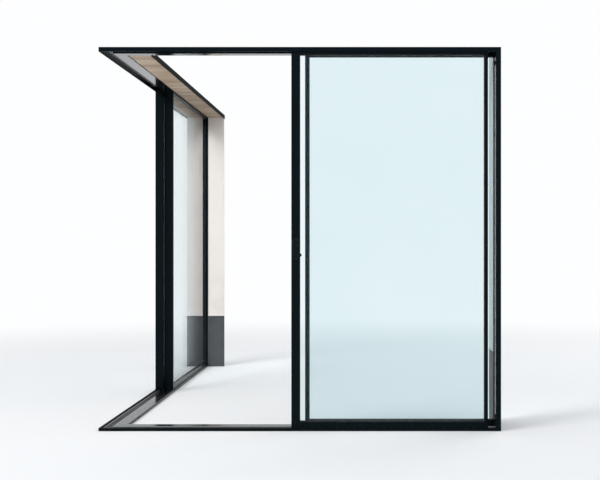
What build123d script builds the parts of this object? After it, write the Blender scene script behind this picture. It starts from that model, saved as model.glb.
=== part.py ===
from build123d import *
import os

# Corner sliding glass door, in millimetres. The origin is the room-side corner of the frame at floor level.
# X runs along the back run, Y along the side run, Z is up. The terrace lies beyond both runs.
# Every piece is drawn for the back run; the side run's pieces are mirrored in the mitre plane x = y.

# Opening and runs.
height = 2500
back_length = 2620
side_length = 3828

# Frame section across the depth: lip, leaf track, divider, leaf track, lip.
lip = 4
gap = 5
leaf_depth = 62
frame_depth = 3 * lip + 2 * leaf_depth + 4 * gap
sill_base = 8
lip_rise = 12
head_web = 5
head_drop = 30
jamb_width = 34
fixed_seat = 20
wall = 3
rib_pitch = 8
rib_gap = 2
rib_depth = 1.5
tread = 4

# Positions of the two tracks, as distances from the room face.
inner_near = lip + gap
inner_far = inner_near + leaf_depth
inner_mid = inner_near + leaf_depth / 2
outer_mid = inner_mid + leaf_depth + 2 * gap + lip

# Leaves.
leaf_lift = 6
lead_width = 52
trail_width = 20
hook_width = 24
bottom_sight = 58
top_sight_drop = 45
pocket = 11
pane = 6
unit = 32
edge_play = 2
spacer_height = 13
corner_round = 1.5
corner_clear = 7
side_lead_clear = 1
hook_reach = 9
hook_web = 2.5
hook_tip = 6
hook_lip = 3
hook_end_clear = 6
hook_overlap = 20
back_leaf_extra = 36
side_leaf_extra = 32
back_stop = 50
side_stop = 12

# Bottom channel, running rail and rollers.
channel_width = 40
channel_web = 3
channel_top = bottom_sight - pocket - channel_web
notch_width = 16
rail_width = 6
rail_top = 26
rail_foot = 20
rail_foot_thick = 2
rail_clear = 9
roll_gap = 0.3
groove_radius = 7
flange_radius = 10
groove_width = 8
wheel_width = 16
carriage_length = 150
carriage_width = 34
carriage_slot = 20
carriage_end = 12
carriage_base = 28
carriage_inset = 70
wheel_pitch = 76
under_clear = 5

# Handle set.
handle_mid = 1185
plate_height = 144
plate_width = 40
plate_thick = 8
plate_round = 6
grip_height = 120
grip_reach = 42
grip_bar = 10
grip_width = 12
grip_inset = 8
case_width = 22
case_height = 32
case_reach = 18
button_radius = 7.5
button_z = 1206
button_past = 8
turn_z = 1146
turn_boss_radius = 12
turn_boss_height = 10
turn_height = 20
turn_thick = 8
turn_past = 16
turn_back = 12
strip_width = 24
strip_height = 140
strip_thick = 2
strip_reach = 7
soft_edge = 1.5
grip_edge = 1

# Outer linings: soffit and far reveal of the side run, and the deeper reveal at the right of the back run.
soffit_reach = 160
right_reveal_reach = 264
soffit_thick = 24
trim_thick = 4
trim_height = 37
trim_leg = 12
base_height = 500

leaf_bottom = sill_base + leaf_lift
leaf_top = height - head_web - leaf_lift
fixed_top = height - head_web
top_sight = height - top_sight_drop
back_closed = inner_far + corner_clear
side_closed = inner_near + side_lead_clear
back_leaf_width = (back_length - jamb_width - back_closed + hook_overlap + back_leaf_extra) / 2
side_leaf_width = (side_length - jamb_width - side_closed + hook_width + side_leaf_extra) / 2
back_open = back_length - jamb_width - back_stop - back_leaf_width
side_open = side_length - jamb_width - side_stop - side_leaf_width
MITRE = Plane(origin=(0, 0, 0), x_dir=(0, 0, 1), z_dir=(1, -1, 0))

os.makedirs("parts", exist_ok=True)


def save(part, name):
    """Label the piece and write its STEP file under the same name."""
    part.label = name
    export_step(part, f"parts/{name}.step")


def box(s0, s1, u0, u1, z0, z1, mode=Mode.ADD):
    """A box from its limits along the run, across the frame and in height."""
    with Locations(((s0 + s1) / 2, (u0 + u1) / 2, (z0 + z1) / 2)):
        Box(s1 - s0, u1 - u0, z1 - z0, mode=mode)


def rect(a0, a1, b0, b1, mode=Mode.ADD):
    """A rectangle from its limits on the sketch plane."""
    with Locations(((a0 + a1) / 2, (b0 + b1) / 2)):
        Rectangle(a1 - a0, b1 - b0, mode=mode)


def swap(side):
    """Move a piece of the back run to the side run by mirroring it in the mitre plane."""
    if side:
        mirror(about=MITRE, mode=Mode.REPLACE)


def track_lines():
    """The three thin upstands of a sill or head: room lip, divider and terrace lip."""
    return (0, inner_far + gap, frame_depth - lip)


# Frame: heads and sills.

def head(length, side):
    """A head channel open downwards, mitred at the corner."""
    with BuildPart() as piece:
        with BuildSketch(Plane.YZ):
            rect(0, frame_depth, height - head_web, height)
            for u in track_lines():
                rect(u, u + lip, height - head_drop, height)
        extrude(amount=length - jamb_width)
        split(bisect_by=MITRE, keep=Keep.TOP)
        swap(side)
    return piece.part


def sill(length, side):
    """A low sill with three upstands, mitred at the corner."""
    with BuildPart() as piece:
        with BuildSketch(Plane.YZ):
            rect(0, frame_depth, 0, sill_base)
            for u in track_lines():
                rect(u, u + lip, 0, sill_base + lip_rise)
        extrude(amount=length - jamb_width)
        split(bisect_by=MITRE, keep=Keep.TOP)
        swap(side)
    return piece.part


def jamb(length, side):
    """A hollow section from the floor to the top of the head, with a rebate that hides the fixed leaf's stile."""
    inner = length - jamb_width
    seat = inner + fixed_seat
    track = inner_far + gap + lip
    with BuildPart() as piece:
        with BuildSketch(Plane.XY):
            rect(inner, length, 0, frame_depth)
            rect(inner, seat, track, frame_depth - lip, mode=Mode.SUBTRACT)
            rect(inner + wall, length - wall, wall, track - wall, mode=Mode.SUBTRACT)
            rect(seat + wall, length - wall, track + wall, frame_depth - wall, mode=Mode.SUBTRACT)
        extrude(amount=height)
        swap(side)
    return piece.part


save(head(back_length, False), "head_back")
save(head(side_length, True), "head_side")
save(sill(back_length, False), "sill_back")
save(sill(side_length, True), "sill_side")
save(jamb(back_length, False), "jamb_right")
save(jamb(side_length, True), "jamb_far")


def rail_bar(start, end):
    """A running rail with a flat foot and a round top."""
    with BuildSketch(Plane.YZ.offset(start)) as section:
        rect(inner_mid - rail_width / 2, inner_mid + rail_width / 2, sill_base, rail_top)
        fillet(section.vertices().group_by(Axis.Y)[-1], radius=rail_width / 2 - 0.1)
        rect(inner_mid - rail_foot / 2, inner_mid + rail_foot / 2, sill_base, sill_base + rail_foot_thick)
    extrude(section.sketch, amount=end - start)


with BuildPart() as running_rails:
    rail_bar(side_closed, side_length - jamb_width)
    swap(True)
    rail_bar(inner_far + rail_clear, back_length - jamb_width)
save(running_rails.part, "running_rails")


# Outer linings of the side run.

with BuildPart() as soffit:
    box(frame_depth, side_length, frame_depth, frame_depth + soffit_reach, height - soffit_thick, height)
    swap(True)
save(soffit.part, "soffit")

with BuildPart() as edge_trim:
    edge = frame_depth + soffit_reach
    box(frame_depth, side_length, edge, edge + trim_thick, height - trim_height, height)
    under = height - soffit_thick
    box(frame_depth, side_length - jamb_width, edge - trim_leg, edge, under - trim_thick, under)
    swap(True)
save(edge_trim.part, "edge_trim")

with BuildPart() as reveal:
    box(side_length - jamb_width, side_length, frame_depth, frame_depth + soffit_reach,
        base_height, height - soffit_thick)
    swap(True)
save(reveal.part, "reveal")

with BuildPart() as reveal_base:
    box(side_length - jamb_width, side_length, frame_depth, frame_depth + soffit_reach, 0, base_height)
    swap(True)
save(reveal_base.part, "reveal_base")


def right_reveal(z0, z1):
    """One board of the reveal beyond the right jamb."""
    with BuildPart() as piece:
        box(back_length - jamb_width, back_length, frame_depth, frame_depth + right_reveal_reach, z0, z1)
    return piece.part


save(right_reveal(base_height, height), "reveal_right")
save(right_reveal(0, base_height), "reveal_right_base")


# Leaves: stiles, rails, glass and spacer.

def interlock(edge, inward, face, outward):
    """A hooked fin along the meeting edge of a stile, trimmed clear of the sill's and head's dividers."""
    z0 = sill_base + lip_rise + hook_end_clear
    z1 = height - head_drop - hook_end_clear
    tip = face + outward * hook_reach
    lip_face = tip - outward * hook_lip
    web = edge + inward * hook_web
    nose = edge + inward * hook_tip
    box(min(edge, web), max(edge, web), min(face, tip), max(face, tip), z0, z1)
    box(min(edge, nose), max(edge, nose), min(lip_face, tip), max(lip_face, tip), z0, z1)


def stile(s0, width, mid, z0, z1, glass_after, sliding, side, meets=False):
    """An upright with a glazing pocket, a hollow chamber where it is wide and, sliding, a rail notch."""
    with BuildPart() as piece:
        with BuildSketch(Plane.XY.offset(z0)) as plan:
            rect(s0, s0 + width, mid - leaf_depth / 2, mid + leaf_depth / 2)
            outer = plan.vertices().group_by(Axis.X)[0 if glass_after else -1]
            fillet(outer, radius=corner_round)
            floor = s0 + width - pocket if glass_after else s0 + pocket
            far = s0 + width if glass_after else s0
            rect(min(floor, far), max(floor, far), mid - unit / 2, mid + unit / 2, mode=Mode.SUBTRACT)
            if width > 2 * (pocket + wall):
                near = s0 + wall if glass_after else s0 + pocket + wall
                last = s0 + width - pocket - wall if glass_after else s0 + width - wall
                half = leaf_depth / 2 - wall
                rect(near, last, mid - half, mid + half, mode=Mode.SUBTRACT)
        extrude(amount=z1 - z0)
        if sliding:
            half = notch_width / 2
            box(s0, s0 + width, mid - half, mid + half, z0, channel_top - wall, mode=Mode.SUBTRACT)
        if meets and sliding:
            interlock(s0 + width, -1, mid + leaf_depth / 2, 1)
        elif meets:
            interlock(s0, 1, mid - leaf_depth / 2, -1)
        swap(side)
    return piece.part


def bottom_rail(s0, s1, mid, z0, sliding, side):
    """A bottom rail with the glazing pocket above and, sliding, the roller channel below."""
    half = leaf_depth / 2
    with BuildPart() as piece:
        with BuildSketch(Plane.YZ.offset(s0)):
            rect(mid - half, mid + half, z0, bottom_sight)
            rect(mid - unit / 2, mid + unit / 2, bottom_sight - pocket, bottom_sight, mode=Mode.SUBTRACT)
            if sliding:
                rect(mid - channel_width / 2, mid + channel_width / 2, z0, channel_top, mode=Mode.SUBTRACT)
            else:
                rect(mid - half + wall, mid + half - wall, z0 + wall, channel_top, mode=Mode.SUBTRACT)
        extrude(amount=s1 - s0)
        swap(side)
    return piece.part


def top_rail(s0, s1, mid, z1, side):
    """A hollow top rail with the glazing pocket below."""
    half = leaf_depth / 2
    with BuildPart() as piece:
        with BuildSketch(Plane.YZ.offset(s0)):
            rect(mid - half, mid + half, top_sight, z1)
            rect(mid - unit / 2, mid + unit / 2, top_sight, top_sight + pocket, mode=Mode.SUBTRACT)
            rect(mid - half + wall, mid + half - wall, top_sight + pocket + wall, z1 - wall, mode=Mode.SUBTRACT)
        extrude(amount=s1 - s0)
        swap(side)
    return piece.part


def glass(s0, s1, mid, side):
    """Two panes of one sealed unit; the spacer between them is its own piece."""
    with BuildPart() as piece:
        for face in (mid - unit / 2, mid + unit / 2 - pane):
            box(s0, s1, face, face + pane, bottom_sight - pocket, top_sight + pocket - edge_play)
        swap(side)
    return piece.part


def spacer(s0, s1, mid, side):
    """The bar round the edge of a sealed unit, between its panes."""
    z0 = bottom_sight - pocket
    z1 = top_sight + pocket - edge_play
    half = unit / 2 - pane
    with BuildPart() as piece:
        box(s0, s1, mid - half, mid + half, z0, z1)
        box(s0 + spacer_height, s1 - spacer_height, mid - half, mid + half,
            z0 + spacer_height, z1 - spacer_height, mode=Mode.SUBTRACT)
        swap(side)
    return piece.part


def leaf(name, s0, s1, mid, sliding, side):
    """All framing and glass of one leaf. A sliding leaf leads at s0; a fixed leaf has its hook stile there."""
    first = lead_width if sliding else hook_width
    last = trail_width
    z0 = leaf_bottom if sliding else sill_base
    z1 = leaf_top if sliding else fixed_top
    save(stile(s0, first, mid, z0, z1, True, sliding, side, not sliding), f"{name}_stile_near")
    save(stile(s1 - last, last, mid, z0, z1, False, sliding, side, sliding), f"{name}_stile_far")
    save(bottom_rail(s0 + first, s1 - last, mid, z0, sliding, side), f"{name}_rail_bottom")
    save(top_rail(s0 + first, s1 - last, mid, z1, side), f"{name}_rail_top")
    g0 = s0 + first - pocket + edge_play
    g1 = s1 - last + pocket - edge_play
    save(glass(g0, g1, mid, side), f"{name}_glass")
    save(spacer(g0, g1, mid, side), f"{name}_spacer")


back_fixed_start = back_closed + back_leaf_width - hook_overlap
side_fixed_start = side_closed + side_leaf_width - hook_width


def sill_infill(end, side):
    """Ribbed tread that fills the outer track of the sill beside the fixed leaf."""
    near = inner_far + gap + lip
    far = frame_depth - lip
    top = sill_base + lip_rise
    count = int((far - near - rib_gap) // rib_pitch)
    first = (near + far - (count - 1) * rib_pitch) / 2
    with BuildPart() as piece:
        with BuildSketch(Plane.YZ):
            rect(near, far, sill_base, top)
            rect(near + wall, far - wall, sill_base, top - tread, mode=Mode.SUBTRACT)
            for i in range(count):
                middle = first + i * rib_pitch
                rect(middle - rib_gap / 2, middle + rib_gap / 2, top - rib_depth, top, mode=Mode.SUBTRACT)
        extrude(amount=end)
        split(bisect_by=MITRE, keep=Keep.TOP)
        swap(side)
    return piece.part


def head_infill(end, side):
    """Smooth channel that closes the outer track of the head beside the fixed leaf."""
    near = inner_far + gap + lip
    far = frame_depth - lip
    low = height - head_drop
    with BuildPart() as piece:
        with BuildSketch(Plane.YZ):
            rect(near, far, low, height - head_web)
            rect(near + wall, far - wall, low + wall, height - head_web, mode=Mode.SUBTRACT)
        extrude(amount=end)
        split(bisect_by=MITRE, keep=Keep.TOP)
        swap(side)
    return piece.part


with BuildPart() as track_infills:
    for run_end, on_side in ((back_fixed_start, False), (side_fixed_start, True)):
        add(sill_infill(run_end, on_side))
        add(head_infill(run_end, on_side))
save(track_infills.part, "track_infills")

leaf("back_fixed", back_fixed_start, back_length - jamb_width + fixed_seat, outer_mid, False, False)
leaf("side_fixed", side_fixed_start, side_length - jamb_width + fixed_seat, outer_mid, False, True)
leaf("back_sliding", back_open, back_open + back_leaf_width, inner_mid, True, False)
leaf("side_sliding", side_open, side_open + side_leaf_width, inner_mid, True, True)


# Rollers: two carriages to a sliding leaf, each with two grooved wheels on hubs.

def carriage(s0):
    """One carriage with its wheels and their hubs, fixed under the bottom rail's web."""
    s1 = s0 + carriage_length
    u = inner_mid
    box(s0, s1, u - carriage_width / 2, u + carriage_width / 2, carriage_base, channel_top)
    box(s0 + carriage_end, s1 - carriage_end, u - carriage_slot / 2, u + carriage_slot / 2,
        carriage_base, channel_top, mode=Mode.SUBTRACT)
    box(s0, s1, u - notch_width / 2, u + notch_width / 2, carriage_base, rail_top + under_clear,
        mode=Mode.SUBTRACT)
    axle_z = rail_top + roll_gap + groove_radius
    for s in ((s0 + s1 - wheel_pitch) / 2, (s0 + s1 + wheel_pitch) / 2):
        with Locations(Location((s, u, axle_z), (90, 0, 0))):
            Cylinder(groove_radius, carriage_slot)
        for shift in (-1, 1):
            middle = u + shift * (groove_width + wheel_width) / 4
            with Locations(Location((s, middle, axle_z), (90, 0, 0))):
                Cylinder(flange_radius, (wheel_width - groove_width) / 2)


def rollers(s0, width, side):
    """The two carriages of one sliding leaf."""
    with BuildPart() as piece:
        carriage(s0 + lead_width + carriage_inset)
        carriage(s0 + width - trail_width - carriage_inset - carriage_length)
        swap(side)
    return piece.part


save(rollers(back_open, back_leaf_width, False), "back_rollers")
save(rollers(side_open, side_leaf_width, True), "side_rollers")


# Handle set on the back leaf's leading stile: pull with its plate and lock case, turn and button, and a
# pull strip outside. The side leaf carries none: it is bolted from inside its stile and shuts first.

def handle(s0):
    """Plate, D-shaped pull and lock case in one casting."""
    face = inner_near - plate_thick
    left = s0 + (lead_width - plate_width) / 2
    right = left + plate_width
    with BuildPart() as piece:
        with BuildSketch(Plane.XZ.offset(-inner_near)):
            with Locations(((left + right) / 2, handle_mid)):
                RectangleRounded(plate_width, plate_height, plate_round)
        extrude(amount=plate_thick)
        chamfer(piece.faces().sort_by(Axis.Y)[0].edges(), length=soft_edge)
        grip = s0 + grip_inset
        with BuildSketch(Plane.YZ.offset(grip)) as loop:
            z0 = handle_mid - grip_height / 2
            z1 = handle_mid + grip_height / 2
            rect(face - grip_reach, face, z0, z1)
            fillet(loop.vertices().group_by(Axis.X)[0], radius=grip_bar + plate_round)
            with BuildSketch(Plane.YZ.offset(grip), mode=Mode.SUBTRACT) as inside:
                rect(face - grip_reach + grip_bar, face, z0 + grip_bar, z1 - grip_bar)
                fillet(inside.vertices().group_by(Axis.X)[0], radius=plate_round)
        extrude(amount=grip_width)
        ends = piece.faces().filter_by(Axis.X).filter_by_position(Axis.X, grip, grip + grip_width)
        chamfer(ends.edges().filter_by_position(Axis.Y, face - grip_reach, face - grip_edge), length=grip_edge)
        box(right - case_width, right, face - case_reach, face,
            button_z - case_height / 2, button_z + case_height / 2)
        front = face - case_reach
        chamfer(piece.faces().filter_by_position(Axis.Y, front, front).edges(), length=soft_edge)
    return piece.part


def thumbturn(s0):
    """Round boss and flat paddle that locks the leaf."""
    face = inner_near - plate_thick
    centre = s0 + lead_width - case_width + turn_boss_radius / 2
    right = s0 + lead_width + turn_past
    with BuildPart() as piece:
        with BuildSketch(Plane.XZ.offset(-face)):
            with Locations((centre, turn_z)):
                Circle(turn_boss_radius)
        extrude(amount=turn_boss_height)
        with BuildSketch(Plane.XZ.offset(turn_boss_height - face)):
            with Locations(((centre - turn_back + right) / 2, turn_z)):
                RectangleRounded(right - centre + turn_back, turn_height, turn_height / 3)
        extrude(amount=turn_thick)
        chamfer(piece.faces().sort_by(Axis.Y)[0].edges(), length=soft_edge)
    return piece.part


def lock_button(s0):
    """Push button on the side of the lock case."""
    start = s0 + (lead_width + plate_width) / 2
    end = s0 + lead_width + button_past
    depth = inner_near - plate_thick - case_reach / 2
    with BuildPart() as piece:
        with BuildSketch(Plane.YZ.offset(start)):
            with Locations((depth, button_z)):
                Circle(button_radius)
        extrude(amount=end - start)
        chamfer(piece.faces().sort_by(Axis.X)[-1].edges(), length=soft_edge)
    return piece.part


def pull_strip(s0):
    """Low angle strip on the terrace face of the back leaf's leading stile, gripped by the fingertips."""
    right = s0 + lead_width / 2 + strip_width / 2
    z0 = handle_mid - strip_height / 2
    with BuildPart() as piece:
        with BuildSketch(Plane.XY.offset(z0)):
            rect(right - strip_width, right, inner_far, inner_far + strip_thick)
            rect(right - strip_thick, right, inner_far, inner_far + strip_reach)
        extrude(amount=strip_height)
        chamfer(piece.edges().filter_by(Axis.X).group_by(Axis.Y)[-1], length=strip_thick / 2)
    return piece.part


save(handle(back_open), "back_handle")
save(thumbturn(back_open), "back_thumbturn")
save(lock_button(back_open), "back_lock_button")
save(pull_strip(back_open), "back_pull_strip")
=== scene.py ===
"""Dresses the corner sliding glass door: powder coat, glass, seals, screws, soffit boards and linings."""

from __future__ import annotations

import logging
import math
from dataclasses import dataclass, field
from enum import Enum
from functools import cache

import bmesh
import bpy
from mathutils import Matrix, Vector


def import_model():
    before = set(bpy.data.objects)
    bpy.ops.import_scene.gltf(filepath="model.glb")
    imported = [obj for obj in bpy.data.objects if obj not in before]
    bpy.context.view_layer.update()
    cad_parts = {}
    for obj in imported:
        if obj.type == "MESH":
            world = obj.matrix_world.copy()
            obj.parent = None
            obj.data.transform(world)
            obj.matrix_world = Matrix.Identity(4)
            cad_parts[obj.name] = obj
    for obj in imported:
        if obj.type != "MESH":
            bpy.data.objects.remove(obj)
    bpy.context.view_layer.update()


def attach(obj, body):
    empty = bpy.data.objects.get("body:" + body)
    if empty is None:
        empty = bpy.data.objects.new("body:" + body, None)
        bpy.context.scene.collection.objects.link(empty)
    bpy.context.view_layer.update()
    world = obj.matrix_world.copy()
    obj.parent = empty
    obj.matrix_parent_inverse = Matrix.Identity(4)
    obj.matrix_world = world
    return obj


LOG = logging.getLogger("corner_door")
MM = 0.001
Pair = tuple[float, float]
Point = tuple[float, float, float]
Colour = tuple[float, float, float]
Profile = tuple[Pair, ...]
Outline = list[Pair]
Material = bpy.types.Material
Node = bpy.types.Node
Socket = bpy.types.NodeSocket


class Run(Enum):
    """The two runs of the frame. A run is measured along its length s and across its depth u."""

    BACK = "back"
    SIDE = "side"

    def place(self, s: float, u: float, z: float) -> Point:
        """Turn millimetres along, across and up into a point of the shared frame.

        Args:
            s: Distance along the run from the corner.
            u: Distance across the frame from the room face.
            z: Height above the floor.

        Returns:
            The point in metres.
        """
        if self is Run.BACK:
            return (s * MM, u * MM, z * MM)
        return (u * MM, s * MM, z * MM)


class Body(Enum):
    """The bodies that pieces ride on."""

    FRAME = "frame"
    BACK_LEAF = "back_leaf"
    SIDE_LEAF = "side_leaf"


@dataclass(frozen=True)
class Section:
    """Sizes of the frame section and of the leaves, in millimetres.

    Inner and outer are the middles of the two tracks. Lead, trail and hook are the widths of stiles.
    """

    lip: float = 4.0
    gap: float = 5.0
    leaf: float = 62.0
    depth: float = 156.0
    inner: float = 40.0
    outer: float = 116.0
    base_top: float = 8.0
    sill_top: float = 20.0
    head_low: float = 2470.0
    sight_low: float = 58.0
    sight_high: float = 2455.0
    unit: float = 32.0
    lead: float = 52.0
    trail: float = 20.0
    hook: float = 24.0
    hook_reach: float = 9.0
    jamb_seat: float = 20.0

    @property
    def divider(self) -> float:
        """Room face of the upstand between the two tracks."""
        return self.lip + 2 * self.gap + self.leaf


SECTION = Section()

# Where the sliding leaves start and end along their runs at rest, in millimetres.
BACK_REST: Pair = (1254.0, 2536.0)
SIDE_REST: Pair = (1862.0, 3782.0)

# Half of the hairline between two strips that meet in the mitre, in millimetres along the run.
MITRE_PLAY = 0.05

# Profiles in millimetres. Each point is given as outward from the face that carries it, and up.
GLIDE_PROFILE: Profile = ((0.0, 0.0), (3.8, 1.5), (3.8, 11.5), (0.0, 13.5))
LEAF_BRUSH_PROFILE: Profile = ((0.0, -1.6), (1.2, -1.6), (3.6, -0.9), (3.6, 0.9), (1.2, 1.6), (0.0, 1.6))
LIP_BRUSH_PROFILE: Profile = ((0.0, 0.0), (0.8, 0.0), (1.1, 2.0), (0.8, 4.0), (0.0, 4.0))
FRAME_SEAL_PROFILE: Profile = ((0.0, 0.0), (5.0, 1.2), (5.0, 4.0), (0.0, 4.0))
DRAIN_CAP_PROFILE: Profile = ((0.0, 4.0), (2.6, 4.6), (2.6, 9.6), (1.2, 12.6), (0.0, 13.0))
DRAIN_SLAT_PROFILE: Profile = ((2.6, 5.4), (3.4, 5.8), (3.4, 8.6), (2.6, 9.0))

# The gasket's points are given as inward from its outer edge, and outward from the pane. The edge
# lies a lap's width behind the stiles and rails.
GASKET_PROFILE: Profile = ((0.0, 0.0), (4.2, 0.0), (3.9, 0.9), (1.4, 2.4), (0.0, 2.4))
GASKET_LAP = 0.4


def placed(profile: Profile, u: float, z: float, way: int = 1, up: int = 1) -> Outline:
    """Move a profile to its place in the frame's section.

    Args:
        profile: Its points as (outward, up).
        u: Distance of its face from the room face.
        z: Height of its zero.
        way: 1 to face the terrace, -1 to face the room.
        up: -1 to turn it upside down.

    Returns:
        The points as (u, z).
    """
    return [(u + way * outward, z + up * rise) for outward, rise in profile]


def scaled(colour: Colour, factor: float) -> Colour:
    """A colour made lighter or darker by a factor."""
    return tuple(c * factor for c in colour)


# Node helpers


def fill(node: Node, **values: float | tuple[float, ...]) -> Node:
    """Set plain values on a node's own sockets, spaces in their names written as underscores."""
    for key, value in values.items():
        node.inputs[key.replace("_", " ")].default_value = value
    return node


@dataclass
class Shader:
    """A small builder for one procedural material."""

    name: str
    material: Material = field(init=False)
    principled: Node = field(init=False)
    output: Node = field(init=False)

    def __post_init__(self) -> None:
        """Make the material with an empty tree, one principled shader and the output."""
        self.material = bpy.data.materials.new(self.name)
        self.material.use_nodes = True
        self.material.node_tree.nodes.clear()
        self.principled = self.node("BsdfPrincipled")
        self.output = self.node("OutputMaterial")
        self.link(self.principled.outputs["BSDF"], self.output.inputs["Surface"])

    def node(self, kind: str, **settings: object) -> Node:
        """Add a node and set its attributes.

        Args:
            kind: The node's type name without its ShaderNode prefix.
            **settings: Attributes to set on the node.

        Returns:
            The new node.
        """
        made = self.material.node_tree.nodes.new("ShaderNode" + kind)
        for key, value in settings.items():
            setattr(made, key, value)
        return made

    def link(self, source: Socket, target: Socket) -> None:
        """Join an output to an input."""
        self.material.node_tree.links.new(source, target)

    def coordinates(self, scale: Point = (1.0, 1.0, 1.0)) -> Socket:
        """Object coordinates in metres, stretched by a scale.

        Args:
            scale: How much each axis is multiplied by.

        Returns:
            The stretched vector.
        """
        source = self.node("TexCoord")
        mapping = fill(self.node("Mapping"), Scale=scale)
        self.link(source.outputs["Object"], mapping.inputs["Vector"])
        return mapping.outputs["Vector"]

    def axis(self, name: str) -> Socket:
        """One object coordinate in metres.

        Args:
            name: X, Y or Z.

        Returns:
            The coordinate.
        """
        source = self.node("TexCoord")
        split = self.node("SeparateXYZ")
        self.link(source.outputs["Object"], split.inputs["Vector"])
        return split.outputs[name]

    def noise(self, vector: Socket, scale: float, detail: float = 3.0, roughness: float = 0.5) -> Socket:
        """A noise value between 0 and 1.

        Args:
            vector: The coordinates.
            scale: Waves for each metre.
            detail: Octaves.
            roughness: How strong the finer octaves are.

        Returns:
            The noise factor.
        """
        made = fill(self.node("TexNoise"), Scale=scale, Detail=detail, Roughness=roughness)
        self.link(vector, made.inputs["Vector"])
        return made.outputs["Fac"]

    def spread(self, value: Socket, low: float, high: float, start: float = 0.0, end: float = 1.0) -> Socket:
        """Map a value from one range to another.

        Args:
            value: The value.
            low: The result at start.
            high: The result at end.
            start: Lower end of the input range.
            end: Upper end of the input range.

        Returns:
            The mapped value.
        """
        made = fill(self.node("MapRange"), From_Min=start, From_Max=end, To_Min=low, To_Max=high)
        self.link(value, made.inputs["Value"])
        return made.outputs["Result"]

    def varied(self, value: Socket, level: float, play: Pair) -> Socket:
        """Map a value between 0 and 1 to a level and its play below and above."""
        return self.spread(value, level + play[0], level + play[1])

    def math(self, kind: str, a: Socket | float, b: Socket | float = 0.0) -> Socket:
        """One arithmetic step.

        Args:
            kind: The operation.
            a: First value.
            b: Second value.

        Returns:
            The result.
        """
        made = self.node("Math", operation=kind)
        for socket, value in zip(made.inputs, (a, b)):
            if isinstance(value, (int, float)):
                socket.default_value = value
            else:
                self.link(value, socket)
        return made.outputs["Value"]

    def mix(self, factor: Socket, a: Socket | Colour, b: Socket | Colour) -> Socket:
        """Blend two colours.

        Args:
            factor: How much of b.
            a: First colour.
            b: Second colour.

        Returns:
            The colour.
        """
        made = self.node("Mix", data_type="RGBA")
        self.link(factor, made.inputs["Factor"])
        for socket, value in ((made.inputs[6], a), (made.inputs[7], b)):
            if isinstance(value, tuple):
                socket.default_value = (*value, 1.0)
            else:
                self.link(value, socket)
        return made.outputs[2]

    def bump(self, height: Socket, distance: float, strength: float = 1.0) -> None:
        """Add relief to the principled shader, on top of any that it has.

        Args:
            height: The height value.
            distance: Full height in metres.
            strength: Share of the effect.
        """
        made = fill(self.node("Bump"), Strength=strength, Distance=distance)
        self.link(height, made.inputs["Height"])
        previous = self.principled.inputs["Normal"]
        if previous.is_linked:
            self.link(previous.links[0].from_socket, made.inputs["Normal"])
        self.link(made.outputs["Normal"], previous)

    def colour(self, value: Socket) -> None:
        """Drive the base colour."""
        self.link(value, self.principled.inputs["Base Color"])

    def roughness(self, value: Socket) -> None:
        """Drive the roughness."""
        self.link(value, self.principled.inputs["Roughness"])

    def fixed(self, **values: float | tuple[float, ...]) -> None:
        """Set plain values on the principled shader's own sockets."""
        fill(self.principled, **values)

    def blend(self, factor: Socket, other: Socket) -> None:
        """Show a second shader in place of the principled one, as far as the factor says.

        Args:
            factor: How much of the second shader.
            other: The second shader.
        """
        pick = self.node("MixShader")
        self.link(factor, pick.inputs["Fac"])
        self.link(self.principled.outputs["BSDF"], pick.inputs[1])
        self.link(other, pick.inputs[2])
        self.link(pick.outputs["Shader"], self.output.inputs["Surface"])


# Finishes. Scales are waves for each metre, and reliefs are metres.


@dataclass(frozen=True)
class PowderCoat:
    """Near-black powder coat with a fine orange peel, slight tone drift and dust low down."""

    name: str = "black_powder_coat"
    base: Colour = (0.0016, 0.0030, 0.0040)
    dust: Colour = (0.010, 0.0098, 0.0090)
    rough: float = 0.23
    peel: float = 0.000004
    gloss: float = 0.085
    sheen: Colour = (0.50, 0.82, 1.0)
    rough_play: Pair = (-0.05, 0.07)
    peel_scale: float = 700.0
    drift_scale: float = 3.1
    drift_lift: float = 1.7
    grime_scale: float = 46.0
    grime_range: Pair = (0.42, 0.75)
    dust_height: float = 0.10
    dust_share: float = 0.3
    dust_rough: float = 0.4

    def make(self) -> Material:
        """Build the material."""
        s = Shader(self.name)
        where = s.coordinates()
        tone = s.mix(s.noise(where, self.drift_scale, 4.0), self.base, scaled(self.base, self.drift_lift))
        grime = s.noise(where, self.grime_scale, 6.0, 0.65)
        low = s.spread(s.axis("Z"), 1.0, 0.0, 0.0, self.dust_height)
        dirt = s.math("MULTIPLY", s.spread(grime, 0.0, 1.0, *self.grime_range), low)
        dirt = s.math("MULTIPLY", dirt, self.dust_share)
        s.colour(s.mix(dirt, tone, self.dust))
        polish = s.varied(grime, self.rough, self.rough_play)
        s.roughness(s.math("ADD", polish, s.math("MULTIPLY", dirt, self.dust_rough)))
        s.bump(s.noise(where, self.peel_scale, 2.0), self.peel)
        s.fixed(Specular_IOR_Level=self.gloss, Specular_Tint=(*self.sheen, 1.0))
        return s.material


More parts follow.
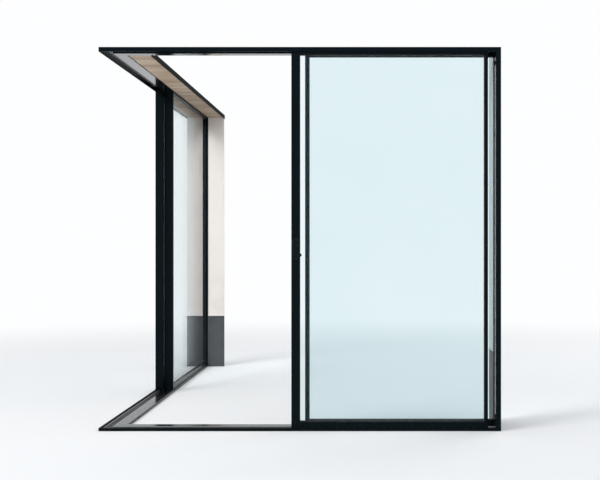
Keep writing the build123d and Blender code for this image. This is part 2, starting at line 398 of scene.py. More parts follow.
@dataclass(frozen=True)
class ClearGlass:
    """Float glass with a faint cool tint, slight roller waves and rain marks low down."""

    name: str = "clear_glass"
    tint: Colour = (0.926, 0.966, 0.976)
    paler: Colour = (0.944, 0.978, 0.984)
    ior: float = 1.45
    face: Colour = (0.17, 0.24, 0.25)
    tint_scale: float = 0.9
    marks_stretch: Point = (60.0, 60.0, 9.0)
    marks_range: Pair = (0.55, 0.85)
    marks_rough: float = 0.05
    marks_heights: Pair = (0.05, 0.7)
    waves_stretch: Point = (1.0, 1.0, 2.2)
    waves_scale: float = 2.1
    waves_relief: float = 0.0006
    waves_share: float = 0.12
    deep: float = 7.5
    pale_pass: Colour = (0.985, 0.993, 0.995)
    deep_pass: Colour = (0.90, 0.925, 0.93)

    def make(self) -> Material:
        """Build the material. Shadow rays and rays that are many panes deep pass it with a pale tint only."""
        s = Shader(self.name)
        s.colour(s.mix(s.noise(s.coordinates(), self.tint_scale, 2.0), self.tint, self.paler))
        marks = s.noise(s.coordinates(self.marks_stretch), 1.0, 5.0, 0.7)
        low = s.spread(s.axis("Z"), 1.0, 0.0, *self.marks_heights)
        film = s.spread(marks, 0.0, self.marks_rough, *self.marks_range)
        s.roughness(s.math("MULTIPLY", film, low))
        waves = s.noise(s.coordinates(self.waves_stretch), self.waves_scale, 1.0)
        s.bump(waves, self.waves_relief, self.waves_share)
        s.fixed(Transmission_Weight=1.0, IOR=self.ior, Specular_Tint=(*self.face, 1.0))
        ray = s.node("LightPath")
        shadow = ray.outputs["Is Shadow Ray"]
        through = s.node("BsdfTransparent")
        s.link(s.mix(shadow, self.deep_pass, self.pale_pass), through.inputs["Color"])
        deep = s.math("GREATER_THAN", ray.outputs["Ray Depth"], self.deep)
        s.blend(s.math("MAXIMUM", shadow, deep), through.outputs["BSDF"])
        return s.material


@dataclass(frozen=True)
class Rubber:
    """Matt black extruded rubber with fine draw lines."""

    name: str = "gasket_rubber"
    base: Colour = (0.012, 0.012, 0.013)
    worn: Colour = (0.030, 0.030, 0.031)
    rough: float = 0.72
    rough_play: Pair = (-0.08, 0.1)
    cloud_scale: float = 60.0
    worn_range: Pair = (0.35, 0.8)
    grain_scale: float = 1400.0
    grain: float = 0.00003

    def make(self) -> Material:
        """Build the material."""
        s = Shader(self.name)
        where = s.coordinates()
        cloud = s.noise(where, self.cloud_scale, 5.0)
        s.colour(s.mix(s.spread(cloud, 0.0, 1.0, *self.worn_range), self.base, self.worn))
        s.roughness(s.varied(cloud, self.rough, self.rough_play))
        s.bump(s.noise(where, self.grain_scale, 2.0), self.grain, 0.7)
        s.fixed(Specular_IOR_Level=0.3)
        return s.material


@dataclass(frozen=True)
class Pile:
    """Woven pile of a draught brush, with fine fibres in clumps."""

    name: str = "brush_pile"
    base: Colour = (0.006, 0.006, 0.0065)
    tip: Colour = (0.022, 0.021, 0.020)
    fibre_scale: float = 1500.0
    clump_scale: float = 180.0
    rough: Pair = (0.85, 1.0)
    relief: float = 0.0005

    def make(self) -> Material:
        """Build the material."""
        s = Shader(self.name)
        where = s.coordinates()
        fibres = s.noise(where, self.fibre_scale, 2.0, 0.7)
        clumps = s.noise(where, self.clump_scale)
        s.colour(s.mix(s.math("MULTIPLY", fibres, clumps), self.base, self.tip))
        s.roughness(s.spread(fibres, *self.rough))
        s.bump(fibres, self.relief, 0.9)
        s.fixed(Specular_IOR_Level=0.15)
        return s.material


class Brush(Enum):
    """How metal was worked. The value stretches the coordinates of its grain."""

    ALONG_X = (2.0, 260.0, 260.0)
    TURNED = (160.0, 160.0, 160.0)


@dataclass(frozen=True)
class Stainless:
    """Brushed or turned metal with lines, faint smears and wheel polish."""

    name: str
    lines: Brush
    base: Colour = (0.47, 0.475, 0.48)
    rough: float = 0.27
    rough_play: Pair = (-0.05, 0.08)
    groove: float = 0.72
    line_scale: float = 3.0
    smear_scale: float = 24.0
    smear_shade: Pair = (0.6, 1.3)
    smear_rough: Pair = (-0.03, 0.09)
    relief: float = 0.00002

    def make(self) -> Material:
        """Build the material."""
        s = Shader(self.name)
        grain = s.noise(s.coordinates(self.lines.value), self.line_scale, 6.0, 0.7)
        smear = s.noise(s.coordinates(), self.smear_scale, 4.0)
        shade = s.math("MULTIPLY", grain, s.spread(smear, *self.smear_shade))
        s.colour(s.mix(shade, scaled(self.base, self.groove), self.base))
        polish = s.varied(grain, self.rough, self.rough_play)
        s.roughness(s.math("ADD", polish, s.spread(smear, *self.smear_rough)))
        s.bump(grain, self.relief, 0.6)
        s.fixed(Metallic=1.0)
        return s.material


@dataclass(frozen=True)
class SpacerBar:
    """Dark warm-edge bar with a stitched row of vent dots."""

    name: str = "warm_edge_spacer"
    base: Colour = (0.022, 0.022, 0.024)
    dots: Colour = (0.006, 0.006, 0.006)
    dot_scale: float = 260.0
    dot_stray: float = 0.12
    dot_rim: Pair = (0.10, 0.22)
    dot_depth: float = 0.0002
    rough: Pair = (0.5, 0.68)
    rough_scale: float = 140.0

    def make(self) -> Material:
        """Build the material."""
        s = Shader(self.name)
        cells = s.node("TexVoronoi", feature="F1")
        fill(cells, Scale=self.dot_scale, Randomness=self.dot_stray)
        s.link(s.coordinates(), cells.inputs["Vector"])
        dot = s.spread(cells.outputs["Distance"], 1.0, 0.0, *self.dot_rim)
        s.colour(s.mix(dot, self.base, self.dots))
        s.roughness(s.spread(s.noise(s.coordinates(), self.rough_scale), *self.rough))
        s.bump(s.math("SUBTRACT", 1.0, dot), self.dot_depth, 0.6)
        s.fixed(Specular_IOR_Level=0.35)
        return s.material


@dataclass(frozen=True)
class OiledTimber:
    """Tan boards whose grain runs across the soffit, each board with its own tone."""

    name: str = "soffit_timber"
    early: Colour = (0.430, 0.306, 0.204)
    late: Colour = (0.280, 0.186, 0.108)
    pale: Colour = (0.565, 0.442, 0.323)
    pitch: float = 0.098
    start: float = 0.158
    board_shift: float = 7.0
    board_lift: float = 3.7
    grain_stretch: Point = (2.6, 26.0, 26.0)
    grain_scale: float = 1.6
    grain_warp: float = 0.9
    ring_count: float = 6.0
    band_range: Pair = (0.25, 0.95)
    pale_share: float = 0.85
    pore_stretch: Point = (30.0, 900.0, 900.0)
    pore_range: Pair = (0.55, 0.8)
    pore_share: float = 0.5
    rough: Pair = (0.46, 0.62)
    relief: float = 0.00025

    def make(self) -> Material:
        """Build the material. Each board has its number and a chance value of its own."""
        s = Shader(self.name)
        steps = s.math("DIVIDE", s.math("SUBTRACT", s.axis("Y"), self.start), self.pitch)
        index = s.math("FLOOR", steps)
        white = s.node("TexWhiteNoise", noise_dimensions="1D")
        s.link(index, white.inputs["W"])
        chance = white.outputs["Value"]
        shift = s.node("CombineXYZ")
        s.link(s.math("MULTIPLY", chance, self.board_shift), shift.inputs["X"])
        s.link(s.math("MULTIPLY", index, self.board_lift), shift.inputs["Z"])
        move = s.node("VectorMath", operation="ADD")
        s.link(s.coordinates(self.grain_stretch), move.inputs[0])
        s.link(shift.outputs["Vector"], move.inputs[1])
        warp = fill(s.node("TexNoise"), Scale=self.grain_scale, Detail=6.0, Distortion=self.grain_warp)
        s.link(move.outputs["Vector"], warp.inputs["Vector"])
        rings = s.math("FRACT", s.math("MULTIPLY", warp.outputs["Fac"], self.ring_count))
        band = s.spread(rings, 0.0, 1.0, *self.band_range)
        wood = s.mix(band, self.early, self.late)
        wood = s.mix(s.spread(chance, 0.0, self.pale_share), wood, self.pale)
        pores = s.noise(s.coordinates(self.pore_stretch), 1.0, 3.0, 0.6)
        s.colour(s.mix(s.spread(pores, 0.0, self.pore_share, *self.pore_range), wood, self.late))
        s.roughness(s.spread(band, *self.rough))
        s.bump(s.math("ADD", s.math("MULTIPLY", band, 0.5), pores), self.relief, 0.6)
        s.fixed(Specular_IOR_Level=0.4)
        return s.material


@dataclass(frozen=True)
class PaintedBoard:
    """Warm white paint laid on with a short-nap roller, a little soiled low down."""

    name: str = "warm_white_paint"
    base: Colour = (0.860, 0.770, 0.722)
    soiled: Colour = (0.720, 0.640, 0.590)
    rough: Pair = (0.42, 0.56)
    drift_scale: float = 5.0
    soil_range: Pair = (0.4, 0.8)
    soil_heights: Pair = (0.5, 1.1)
    soil_low: float = 0.8
    soil_all: float = 0.15
    nap_scale: float = 520.0
    nap: float = 0.00018
    wave_stretch: Point = (1.0, 1.0, 0.3)
    wave_scale: float = 28.0
    wave: float = 0.0008

    def make(self) -> Material:
        """Build the material."""
        s = Shader(self.name)
        where = s.coordinates()
        drift = s.noise(where, self.drift_scale, 5.0)
        low = s.spread(s.axis("Z"), self.soil_low, 0.0, *self.soil_heights)
        spots = s.spread(drift, 0.0, 1.0, *self.soil_range)
        soil = s.math("MULTIPLY", spots, s.math("ADD", low, self.soil_all))
        s.colour(s.mix(soil, self.base, self.soiled))
        s.roughness(s.spread(drift, *self.rough))
        s.bump(s.noise(where, self.nap_scale, 4.0, 0.6), self.nap, 0.55)
        s.bump(s.noise(s.coordinates(self.wave_stretch), self.wave_scale, 2.0), self.wave, 0.2)
        s.fixed(Specular_IOR_Level=0.4)
        return s.material


@dataclass(frozen=True)
class PaintedShadowBase:
    """Painted shadow: dark grey that stands for the shade low on the reveal walls, with fine speckle and
    darker blotches.
    """

    name: str = "painted_shadow_base"
    base: Colour = (0.074, 0.076, 0.080)
    speck: Colour = (0.150, 0.150, 0.148)
    blotch: Colour = (0.040, 0.041, 0.044)
    rough: Pair = (0.66, 0.82)
    speck_scale: float = 420.0
    speck_range: Pair = (0.56, 0.72)
    blotch_scale: float = 9.0
    blotch_range: Pair = (0.5, 0.8)
    blotch_share: float = 0.7
    relief: float = 0.00022

    def make(self) -> Material:
        """Build the material."""
        s = Shader(self.name)
        where = s.coordinates()
        fine = s.noise(where, self.speck_scale, 3.0, 0.7)
        cloud = s.noise(where, self.blotch_scale, 6.0, 0.6)
        tone = s.mix(s.spread(fine, 0.0, 1.0, *self.speck_range), self.base, self.speck)
        s.colour(s.mix(s.spread(cloud, 0.0, self.blotch_share, *self.blotch_range), tone, self.blotch))
        s.roughness(s.spread(cloud, *self.rough))
        s.bump(fine, self.relief, 0.6)
        s.fixed(Specular_IOR_Level=0.35)
        return s.material


@dataclass(frozen=True)
class Sealant:
    """Dark grey elastic sealant, tooled smooth."""

    name: str = "joint_sealant"
    base: Colour = (0.050, 0.050, 0.052)
    lift: float = 1.5
    rough: Pair = (0.42, 0.58)
    ripple_scale: float = 90.0
    relief: float = 0.0003

    def make(self) -> Material:
        """Build the material."""
        s = Shader(self.name)
        ripple = s.noise(s.coordinates(), self.ripple_scale)
        s.colour(s.mix(ripple, self.base, scaled(self.base, self.lift)))
        s.roughness(s.spread(ripple, *self.rough))
        s.bump(ripple, self.relief, 0.4)
        return s.material


class Finish(Enum):
    """Every finish of the door."""

    COAT = PowderCoat()
    TREAD = PowderCoat("satin_black_infill", rough=0.14, peel=0.000002, gloss=0.55)
    HANDLE = PowderCoat("handle_black", (0.0028, 0.0038, 0.0045), rough=0.32, peel=0.000006, gloss=0.17)
    TRIM = PowderCoat("matt_black_trim", rough=0.62, peel=0.000012, gloss=0.02)
    GLASS = ClearGlass()
    RUBBER = Rubber()
    PILE = Pile()
    BUTTON = Stainless("dark_steel", Brush.TURNED, (0.040, 0.042, 0.045), 0.32)
    STEEL = Stainless("turned_stainless", Brush.TURNED)
    RAIL = Stainless("rail_stainless", Brush.ALONG_X, (0.30, 0.305, 0.31), 0.34)
    ZINC = Stainless("black_zinc", Brush.TURNED, (0.045, 0.046, 0.048), 0.36)
    SPACER = SpacerBar()
    TIMBER = OiledTimber()
    PAINT = PaintedBoard()
    # Painted shade: the white paint made grey-blue for the right reveal, standing for the shade that it lies
    # in.
    SHADED_PAINT = PaintedBoard("shaded_grey_paint", (0.40, 0.45, 0.47), (0.30, 0.34, 0.355))
    # Painted shadow: the dark grey of the reveals' bases stands for the shade low on the walls.
    SHADOW_BASE = PaintedShadowBase()
    SEALANT = Sealant()

    @cache
    def material(self) -> Material:
        """The finish's material, made once."""
        return self.value.make()


# Mesh helpers

# The rings of a screw's head, from its seat over the dome to the recess's floor: the shares of the
# head's radius and height, and whether the ring is a hexagon.
SCREW_RINGS = (
    (1.0, 0.0, False),
    (1.0, 0.45, False),
    (0.82, 0.85, False),
    (0.52, 1.0, True),
    (0.50, 0.25, True),
)
SCREW_SIDES = 18

# How close the points are that the weld joins, in metres, and the angle from which edges are rounded.
WELD_REACH = 0.00001
EDGE_ANGLE = math.radians(35)


@dataclass(frozen=True)
class ScrewHead:
    """A pan head with a hexagon recess, in millimetres."""

    radius: float
    dome: float

    def ring(self, share: float, hexagonal: bool, turn: float) -> list[Pair]:
        """The points of one ring on the screw's own plane.

        Args:
            share: Its radius as a share of the head's, at the corners where it is a hexagon.
            hexagonal: True for a hexagon.
            turn: How far it is turned, in radians.

        Returns:
            The points in millimetres.
        """
        points = []
        for i in range(SCREW_SIDES):
            step = math.tau * i / SCREW_SIDES
            reach = self.radius * share
            if hexagonal:
                reach *= math.cos(math.pi / 6) / math.cos(step % (math.pi / 3) - math.pi / 6)
            points.append((math.cos(step + turn) * reach, math.sin(step + turn) * reach))
        return points


@dataclass
class Piece:
    """One mesh piece, collected in a bmesh and then given to a body."""

    name: str
    body: Body
    mesh: bmesh.types.BMesh = field(default_factory=bmesh.new)

    def skin(self, first: list[bmesh.types.BMVert], last: list[bmesh.types.BMVert]) -> None:
        """Join two loops of as many points with a band of faces."""
        count = len(first)
        for i in range(count):
            j = (i + 1) % count
            self.mesh.faces.new((first[i], first[j], last[j], last[i]))

    def prism(self, run: Run, outline: Outline, s0: float, s1: float, mitred: bool = False) -> None:
        """Add a straight bar of constant section.

        Args:
            run: The run that it lies along.
            outline: Section points as (u, z) in millimetres, in order.
            s0: Start along the run, unless mitred.
            s1: End along the run.
            mitred: True to start at the corner's mitre instead, where s equals u.
        """
        starts = [u + MITRE_PLAY if mitred else s0 for u, _ in outline]
        first = [self.mesh.verts.new(run.place(s, u, z)) for s, (u, z) in zip(starts, outline)]
        last = [self.mesh.verts.new(run.place(s1, u, z)) for u, z in outline]
        self.skin(first, last)
        self.mesh.faces.new(list(reversed(first)))
        self.mesh.faces.new(last)

    def ring(self, run: Run, s: Pair, z: Pair, section: Outline) -> None:
        """Add a mitred rectangular bead, such as a gasket round a pane.

        Args:
            run: The run that its plane faces.
            s: The bead's outer limits along the run.
            z: The bead's outer limits in height.
            section: Section points as (inward, u), inward from the outer edge, in millimetres.
        """
        turns = ((s[0], z[0], 1, 1), (s[1], z[0], -1, 1), (s[1], z[1], -1, -1), (s[0], z[1], 1, -1))
        loops = [
            [self.mesh.verts.new(run.place(cs + ds * inward, u, cz + dz * inward)) for inward, u in section]
            for cs, cz, ds, dz in turns
        ]
        for first, last in zip(loops, loops[1:] + loops[:1]):
            self.skin(first, last)

    def chamfered_box(self, low: Point, high: Point, edge: float) -> None:
        """Add a box whose edges are cut at 45 degrees.

        Args:
            low: Lowest corner in metres.
            high: Highest corner in metres.
            edge: Width of the cut in metres.
        """
        made = bmesh.ops.create_cube(self.mesh, size=1.0)["verts"]
        bmesh.ops.scale(self.mesh, vec=Vector(high) - Vector(low), verts=made)
        bmesh.ops.translate(self.mesh, vec=(Vector(high) + Vector(low)) / 2, verts=made)
        edges = list(dict.fromkeys(e for v in made for e in v.link_edges))
        bmesh.ops.bevel(self.mesh, geom=edges, offset=edge, segments=1, affect="EDGES", profile=0.5)

    def screw(self, centre: Point, normal: Point, head: ScrewHead, turn: float) -> None:
        """Add a screw's head.

        Args:
            centre: Where the head's seat is, in metres.
            normal: The way that the head faces.
            head: Its form.
            turn: How far its recess is turned, in radians.
        """
        axis = Vector(normal).normalized()
        side = axis.orthogonal().normalized()
        up = axis.cross(side)
        seat = Vector(centre)
        rings = []
        for share, rise, hexagonal in SCREW_RINGS:
            middle = seat + axis * head.dome * rise * MM
            points = head.ring(share, hexagonal, turn)
            rings.append([self.mesh.verts.new(middle + (side * a + up * b) * MM) for a, b in points])
        for first, last in zip(rings, rings[1:]):
            self.skin(first, last)
        self.mesh.faces.new(list(reversed(rings[0])))
        recess = rings[-1]
        floor = self.mesh.verts.new(middle)
        for a, b in zip(recess, recess[1:] + recess[:1]):
            self.mesh.faces.new((a, b, floor))

    def finish(self, look: Finish) -> None:
        """Turn the collected mesh into an object that rides on its body.

        Args:
            look: Its finish.
        """
        bmesh.ops.recalc_face_normals(self.mesh, faces=self.mesh.faces)
        data = bpy.data.meshes.new(self.name)
        self.mesh.to_mesh(data)
        self.mesh.free()
        made = bpy.data.objects.new(self.name, data)
        bpy.context.scene.collection.objects.link(made)
        data.materials.append(look.material())
        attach(made, self.body.value)
        LOG.info("%s: %d faces on %s", self.name, len(data.polygons), self.body.value)


def dress(node: str, look: Finish, edge: float = 0.0) -> None:
    """Give a CAD node its finish and, for metal, a fine rounded edge that catches the light.

    Args:
        node: The node's name.
        look: Its finish.
        edge: Radius of the rounded edges in metres, or 0 for none.
    """
    target = bpy.data.objects[node]
    if not target.data.materials:
        target.data.materials.append(look.material())
    for held in target.material_slots:
        held.link = "OBJECT"
        held.material = look.material()
    if edge > 0:
        weld = target.modifiers.new("weld", "WELD")
        weld.merge_threshold = WELD_REACH
        bevel = target.modifiers.new("edge", "BEVEL")
        bevel.width = edge
        bevel.segments = 2
        bevel.limit_method = "ANGLE"
        bevel.angle_limit = EDGE_ANGLE
    LOG.info("%s: dressed", node)


# The door. Sizes are in millimetres, and the edges of boxes and nodes in metres.


@dataclass
class Leaf:
    """One leaf: its glass, gaskets and seals and, where it slides, its brushes and glides."""

    name: str
    run: Run
    body: Body
    start: float
    end: float
    lead: float
    middle: float
    edge: float = 0.0006
    hook_seal_z: Pair = (28.0, 2462.0)
    hook_seal_edge: float = 0.0003
    brush_z: Pair = (17.0, 2472.0)
    glide_z: float = 2474.0
    glide_length: float = 60.0
    glide_inset: float = 8.0

    def faces(self) -> tuple[tuple[int, float], ...]:
        """The leaf's two outer faces, as the way that each looks and its distance from the room face."""
        return tuple((way, self.middle + way * SECTION.leaf / 2) for way in (-1, 1))

    def dress(self) -> None:
        """Give the leaf's CAD nodes their finishes."""
        for part in ("stile_near", "stile_far", "rail_bottom", "rail_top"):
            dress(f"{self.name}_{part}", Finish.COAT, self.edge)
        dress(f"{self.name}_glass", Finish.GLASS)
        dress(f"{self.name}_spacer", Finish.SPACER)

    def gaskets(self) -> None:
        """Add the wedge gaskets that hold the glass on both faces."""
        piece = Piece(f"{self.name}_gaskets", self.body)
        s = (self.start + self.lead - GASKET_LAP, self.end - SECTION.trail + GASKET_LAP)
        z = (SECTION.sight_low - GASKET_LAP, SECTION.sight_high + GASKET_LAP)
        for way in (-1, 1):
            face = self.middle + way * SECTION.unit / 2
            piece.ring(self.run, s, z, [(inward, face + way * rise) for inward, rise in GASKET_PROFILE])
        piece.finish(Finish.RUBBER)

    def hook_seal(self) -> None:
        """Add the pile seal on the hook that laps the sliding leaf, on its carrier strip."""
        piece = Piece(f"{self.name}_hook_seal", self.body)
        tip = self.middle - SECTION.leaf / 2 - SECTION.hook_reach
        low, high = self.hook_seal_z
        carrier = (tip, 0.9, 0.8, 5.4)
        pile = (tip - 0.9, 2.9, 1.6, 4.6)
        for face, reach, first, last in (carrier, pile):
            a = self.run.place(self.start + first, face - reach, low)
            b = self.run.place(self.start + last, face, high)
            piece.chamfered_box(a, b, self.hook_seal_edge)
        piece.finish(Finish.PILE)

    def brushes(self) -> None:
        """Add the draught brushes along the top and bottom of the leaf's track gaps."""
        piece = Piece(f"{self.name}_brushes", self.body)
        for way, face in self.faces():
            for z in self.brush_z:
                outline = placed(LEAF_BRUSH_PROFILE, face, z, way)
                piece.prism(self.run, outline, self.start + 1.5, self.end - 4.0)
        piece.finish(Finish.PILE)

    def guides(self) -> None:
        """Add the glide blocks that centre the sliding leaf's top in the head track."""
        piece = Piece(f"{self.name}_head_guides", self.body)
        for s in (self.start + self.glide_inset, self.end - self.glide_inset - self.glide_length):
            for way, face in self.faces():
                outline = placed(GLIDE_PROFILE, face, self.glide_z, way)
                piece.prism(self.run, outline, s, s + self.glide_length)
        piece.finish(Finish.RUBBER)


@dataclass
class Handle:
    """The pull, turn, button and outer strip of the back leaf, with the screws that hold the plate."""

    name: str
    run: Run
    body: Body
    start: float
    plate_face: float = 1.0
    mid: float = 1185.0
    screw_inset: float = 32.0
    screw_rise: float = 64.0
    screw_turns: Pair = (0.2, 0.75)
    screw_head: ScrewHead = ScrewHead(3.4, 1.2)

    def dress(self) -> None:
        """Give the handle's CAD nodes their finishes."""
        for part in ("handle", "thumbturn", "pull_strip"):
            dress(f"{self.name}_{part}", Finish.HANDLE)
        dress(f"{self.name}_lock_button", Finish.BUTTON)

    def screws(self) -> None:
        """Add the two hexagon-socket screws of the plate."""
        piece = Piece(f"{self.name}_plate_screws", self.body)
        for way, turn in zip((-1, 1), self.screw_turns):
            z = self.mid + way * self.screw_rise
            centre = self.run.place(self.start + self.screw_inset, self.plate_face, z)
            piece.screw(centre, self.run.place(0.0, -1.0, 0.0), self.screw_head, turn)
        piece.finish(Finish.ZINC)


@dataclass
class OuterFrame:
    """Heads, sills, jambs, rails and infills, with their seals, screws, buffers and drain caps."""

    back_end: float = 2586.0
    side_end: float = 3794.0
    back_fixed: float = 1340.0
    side_fixed: float = 1906.0
    edge: float = 0.0005
    rail_starts: Pair = (110.0, 60.0)
    rail_margin: float = 60.0
    rail_pitch: float = 300.0
    rail_foot: float = 2.0
    rail_reach: float = 6.4
    rail_head: ScrewHead = ScrewHead(2.6, 0.9)
    jamb_screw_z: tuple[float, ...] = (180.0, 720.0, 1260.0, 1800.0, 2340.0)
    jamb_head: ScrewHead = ScrewHead(4.4, 1.3)
    buffer_z: Pair = (92.0, 2402.0)
    buffer_size: Point = (4.0, 18.0, 14.0)
    buffer_edge: float = 0.0012
    back_drains: tuple[float, ...] = (420.0, 1020.0, 1660.0, 2260.0)
    side_drains: tuple[float, ...] = (520.0, 1240.0, 2180.0, 2900.0, 3560.0)
    drain_half: float = 19.0
    slat_steps: tuple[float, ...] = (-12.0, -4.0, 4.0, 12.0)
    slat_half: float = 2.6
    lip_brush_z: Pair = (14.0, 2474.0)

    def ends(self) -> tuple[tuple[Run, float], ...]:
        """Each run and where its jamb's inner face is."""
        return ((Run.BACK, self.back_end), (Run.SIDE, self.side_end))

    def dress(self) -> None:
        """Give the frame's CAD nodes their finishes."""
        for node in ("head_back", "head_side", "sill_back", "sill_side", "jamb_right", "jamb_far"):
            dress(node, Finish.COAT, self.edge)
        dress("track_infills", Finish.TREAD)
        dress("edge_trim", Finish.TRIM, self.edge)
        dress("running_rails", Finish.RAIL)
        dress("back_rollers", Finish.STEEL)
        dress("side_rollers", Finish.STEEL)

    def rail_screws(self) -> None:
        """Add the small screws that fix the feet of the running rails, left and right in turn."""
        piece = Piece("rail_screws", Body.FRAME)
        for (run, end), first in zip(self.ends(), self.rail_starts):
            last = end - self.rail_margin
            count = int((last - first) // self.rail_pitch)
            for i in range(count + 1):
                s = first + (last - first) * i / count
                side = 1 if i % 2 else -1
                u = SECTION.inner + side * self.rail_reach
                place = run.place(s, u, SECTION.base_top + self.rail_foot)
                piece.screw(place, (0, 0, 1), self.rail_head, i * 0.7)
        piece.finish(Finish.STEEL)

    def jamb_fixings(self) -> None:
        """Add the fixing screws and the rubber buffers on the inner faces of the jambs."""
        screws = Piece("jamb_screws", Body.FRAME)
        buffers = Piece("jamb_buffers", Body.FRAME)
        thick, half, rise = self.buffer_size
        for run, face in self.ends():
            inward = run.place(-1.0, 0.0, 0.0)
            for i, z in enumerate(self.jamb_screw_z):
                screws.screw(run.place(face, SECTION.inner, z), inward, self.jamb_head, 0.2 + i)
            for z in self.buffer_z:
                low = run.place(face - thick, SECTION.inner - half, z - rise)
                high = run.place(face, SECTION.inner + half, z + rise)
                buffers.chamfered_box(low, high, self.buffer_edge)
        screws.finish(Finish.ZINC)
        buffers.finish(Finish.RUBBER)

    def drain_caps(self) -> None:
        """Add the louvred drain caps on the terrace face of the sill."""
        piece = Piece("drain_caps", Body.FRAME)
        cap = placed(DRAIN_CAP_PROFILE, SECTION.depth, 0.0)
        slat = placed(DRAIN_SLAT_PROFILE, SECTION.depth, 0.0)
        for run, places in zip(Run, (self.back_drains, self.side_drains)):
            for s in places:
                piece.prism(run, cap, s - self.drain_half, s + self.drain_half)
                for step in self.slat_steps:
                    piece.prism(run, slat, s + step - self.slat_half, s + step + self.slat_half)
        piece.finish(Finish.RUBBER)

    def fixed_leaf_seals(self) -> None:
        """Add the seal strips along the feet and heads of the fixed leaves."""
        piece = Piece("frame_sealant", Body.FRAME)
        for (run, end), start in zip(self.ends(), (self.back_fixed, self.side_fixed)):
            for way in (-1, 1):
                face = SECTION.outer + way * SECTION.leaf / 2
                for z, up in ((SECTION.sill_top, -1), (SECTION.head_low, 1)):
                    piece.prism(run, placed(FRAME_SEAL_PROFILE, face, z, way, up), start, end)
        piece.finish(Finish.RUBBER)

    def lip_brushes(self) -> None:
        """Add the pile strips on the lips and dividers of both runs, mitred at the corner."""
        piece = Piece("lip_brushes", Body.FRAME)
        for run, end in self.ends():
            for u, way in ((SECTION.lip, 1), (SECTION.divider, -1)):
                for z in self.lip_brush_z:
                    piece.prism(run, placed(LIP_BRUSH_PROFILE, u, z, way), 0.0, end, mitred=True)
        piece.finish(Finish.PILE)


@dataclass
class Linings:
    """The timber soffit with its boards, and the painted reveals with their dark bases, which are painted
    shadow.
    """

    start: float = 158.0
    end: float = 3794.0
    pitch: float = 98.0
    joint: float = 4.0
    last_gap: float = 0.5
    board_u: Pair = (157.5, 303.0)
    board_z: Pair = (2473.0, 2476.2)
    board_edge: float = 0.0015
    reveal_edge: float = 0.0012
    shadow_base_edge: float = 0.0010

    def dress(self) -> None:
        """Give the linings' CAD nodes their finishes."""
        dress("soffit", Finish.TIMBER)
        dress("reveal", Finish.PAINT, self.reveal_edge)
        # Painted shade on the right reveal: the grey copy of the white paint.
        dress("reveal_right", Finish.SHADED_PAINT, self.reveal_edge)
        # The reveals' bases are painted shadow: dark grey where the walls lie in shade.
        for node in ("reveal_base", "reveal_right_base"):
            dress(node, Finish.SHADOW_BASE, self.shadow_base_edge)

    def boards(self) -> None:
        """Add the facing boards under the soffit, laid across it with narrow V joints."""
        piece = Piece("soffit_boards", Body.FRAME)
        (near, far), (low, high) = self.board_u, self.board_z
        s = self.start
        while s < self.end - self.joint:
            last = min(s + self.pitch - self.joint, self.end - self.last_gap)
            a, b = Run.SIDE.place(s, near, low), Run.SIDE.place(last, far, high)
            piece.chamfered_box(a, b, self.board_edge)
            s += self.pitch
        piece.finish(Finish.TIMBER)

    def joints(self) -> None:
        """Add the sealant lines beside the reveal and between it and its dark base, which is painted shadow.
        """
        piece = Piece("reveal_sealant", Body.FRAME)
        upright = [(156.0, 1.0), (159.4, 1.0), (159.4, 2475.0), (156.0, 2475.0)]
        level = [(156.5, 497.5), (315.5, 497.5), (315.5, 502.5), (156.5, 502.5)]
        for outline, depth in ((upright, 2.2), (level, 1.2)):
            piece.prism(Run.SIDE, outline, self.end - depth, self.end)
        piece.finish(Finish.SEALANT)


# Stage


@dataclass(frozen=True)
class Lamp:
    """A soft square lamp, in metres and watts."""

    name: str
    place: Point
    aim: Point
    size: float
    power: float

    def hang(self) -> None:
        """Add the lamp, unseen by the camera and through glass."""
        data = bpy.data.lights.new(self.name, "AREA")
        data.size = self.size
        data.energy = self.power
        made = bpy.data.objects.new(self.name, data)
        made.location = self.place
        made.rotation_euler = (Vector(self.aim) - Vector(self.place)).to_track_quat("-Z", "Y").to_euler()
        made.visible_camera = False
        made.visible_transmission = False
        bpy.context.scene.collection.objects.link(made)


# The room lamp hangs high, so that the heads' tops don't mirror it in views from the terrace.
LAMPS = (
    Lamp("terrace_light", (6.5, 5.5, 7.0), (1.0, 1.5, 1.0), 4.0, 140.0),
    Lamp("room_light", (-6.5, -6.5, 8.5), (1.0, 3.0, 1.3), 5.0, 700.0),
)


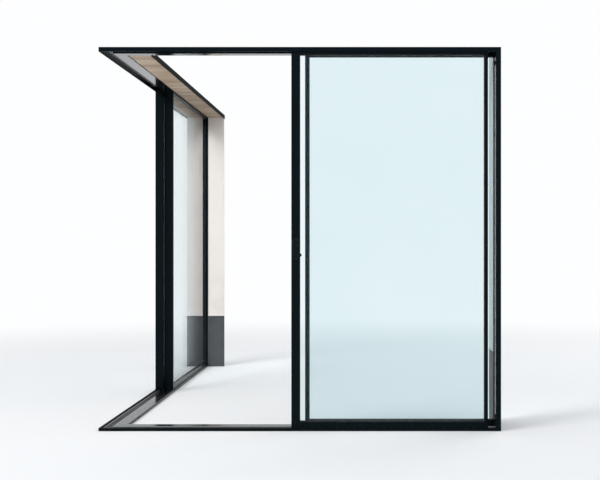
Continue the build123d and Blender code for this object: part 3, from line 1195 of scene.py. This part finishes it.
@dataclass
class Studio:
    """Pale floor, white backdrop, soft lamps and the camera at the photograph's viewing angle.

    The photograph's width, principal point and centre of interest are in its own pixels.
    """

    eye: Point = (1.7665, -7.19, 1.22)
    full_lens: float = 25.5
    sensor: float = 36.0
    zoom: float = 2.6
    photo_width: float = 600.0
    principal: Pair = (276.4, 251.0)
    centre: Pair = (249.5, 249.6)
    sight: float = 200.0
    middle: Point = (1.3, 1.9, 0.0)
    floor_reach: float = 60.0
    floor_drop: float = 0.0005
    floor_tones: Pair = (0.80, 0.83)
    fade: Pair = (3.5, 9.0)
    white: Colour = (0.985, 0.99, 1.0)
    sky: Colour = (0.94, 0.97, 1.0)
    sky_strength: float = 0.85

    def camera(self) -> None:
        """Place the camera level, with the shift that the photograph's framing needs."""
        data = bpy.data.cameras.new("view")
        data.lens = self.full_lens * self.zoom
        data.sensor_width = self.sensor
        data.shift_x = (self.centre[0] - self.principal[0]) * self.zoom / self.photo_width
        data.shift_y = (self.principal[1] - self.centre[1]) * self.zoom / self.photo_width
        data.clip_end = self.sight
        made = bpy.data.objects.new("view", data)
        made.location = self.eye
        made.rotation_euler = (math.radians(90), 0.0, 0.0)
        bpy.context.scene.collection.objects.link(made)
        bpy.context.scene.camera = made

    def floor_finish(self) -> Material:
        """A pale finish that fades to white far off, where it is seen, mirrored or refracted."""
        s = Shader("pale_floor")
        low, high = self.floor_tones
        s.colour(s.mix(s.noise(s.coordinates(), 0.8), (low, low, low), (high, high, high)))
        s.fixed(Roughness=0.9, Specular_IOR_Level=0.1)
        away = s.node("VectorMath", operation="DISTANCE")
        away.inputs[1].default_value = self.middle
        source = s.node("TexCoord")
        s.link(source.outputs["Object"], away.inputs[0])
        ray = s.node("LightPath")
        seen = s.math("MAXIMUM", ray.outputs["Is Camera Ray"], ray.outputs["Is Transmission Ray"])
        seen = s.math("MAXIMUM", seen, ray.outputs["Is Glossy Ray"])
        far = s.spread(away.outputs["Value"], 0.0, 1.0, *self.fade)
        far.node.interpolation_type = "SMOOTHSTEP"
        glow = fill(s.node("Emission"), Color=(*self.white, 1.0))
        s.blend(s.math("MULTIPLY", far, seen), glow.outputs["Emission"])
        return s.material

    def floor(self) -> None:
        """Lay the floor, which keeps the door's shadow."""
        data = bpy.data.meshes.new("floor")
        reach = self.floor_reach
        edge = [(-reach, -reach, 0.0), (reach, -reach, 0.0), (reach, reach, 0.0), (-reach, reach, 0.0)]
        data.from_pydata(edge, [], [(0, 1, 2, 3)])
        data.materials.append(self.floor_finish())
        made = bpy.data.objects.new("floor", data)
        made.location = (0.0, 0.0, -self.floor_drop)
        bpy.context.scene.collection.objects.link(made)

    def light(self) -> None:
        """Set the lamps, and a world that is white where it is seen and soft where it lights."""
        world = bpy.data.worlds.new("studio")
        bpy.context.scene.world = world
        world.use_nodes = True
        nodes, links = world.node_tree.nodes, world.node_tree.links
        nodes.clear()
        ray = nodes.new("ShaderNodeLightPath")
        seen = ray.outputs["Is Camera Ray"]
        for name in ("Is Transmission Ray", "Is Glossy Ray"):
            either = nodes.new("ShaderNodeMath")
            either.operation = "MAXIMUM"
            links.new(seen, either.inputs[0])
            links.new(ray.outputs[name], either.inputs[1])
            seen = either.outputs["Value"]
        pick = nodes.new("ShaderNodeMixShader")
        links.new(seen, pick.inputs["Fac"])
        for slot, colour, strength in ((1, self.sky, self.sky_strength), (2, self.white, 1.0)):
            glow = fill(nodes.new("ShaderNodeBackground"), Color=(*colour, 1.0), Strength=strength)
            links.new(glow.outputs["Background"], pick.inputs[slot])
        output = nodes.new("ShaderNodeOutputWorld")
        links.new(pick.outputs["Shader"], output.inputs["Surface"])
        for lamp in LAMPS:
            lamp.hang()
        bpy.context.scene.view_settings.view_transform = "Standard"


def main() -> None:
    """Load the frame, build and dress every sub-assembly in order, and set the stage."""
    logging.basicConfig(level=logging.INFO, format="%(name)s %(message)s")
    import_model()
    frame = OuterFrame()
    frame.dress()
    frame.rail_screws()
    frame.jamb_fixings()
    frame.drain_caps()
    frame.fixed_leaf_seals()
    frame.lip_brushes()
    c = SECTION
    back_seat = frame.back_end + c.jamb_seat
    side_seat = frame.side_end + c.jamb_seat
    leaves = [
        Leaf("back_fixed", Run.BACK, Body.FRAME, frame.back_fixed, back_seat, c.hook, c.outer),
        Leaf("side_fixed", Run.SIDE, Body.FRAME, frame.side_fixed, side_seat, c.hook, c.outer),
        Leaf("back_sliding", Run.BACK, Body.BACK_LEAF, *BACK_REST, c.lead, c.inner),
        Leaf("side_sliding", Run.SIDE, Body.SIDE_LEAF, *SIDE_REST, c.lead, c.inner),
    ]
    for leaf in leaves:
        leaf.dress()
        leaf.gaskets()
        if leaf.body is Body.FRAME:
            leaf.hook_seal()
        else:
            leaf.brushes()
            leaf.guides()
    handle = Handle("back", Run.BACK, Body.BACK_LEAF, BACK_REST[0])
    handle.dress()
    handle.screws()
    linings = Linings()
    linings.dress()
    linings.boards()
    linings.joints()
    studio = Studio()
    studio.floor()
    studio.light()
    studio.camera()


if __name__ == "__main__":
    main()
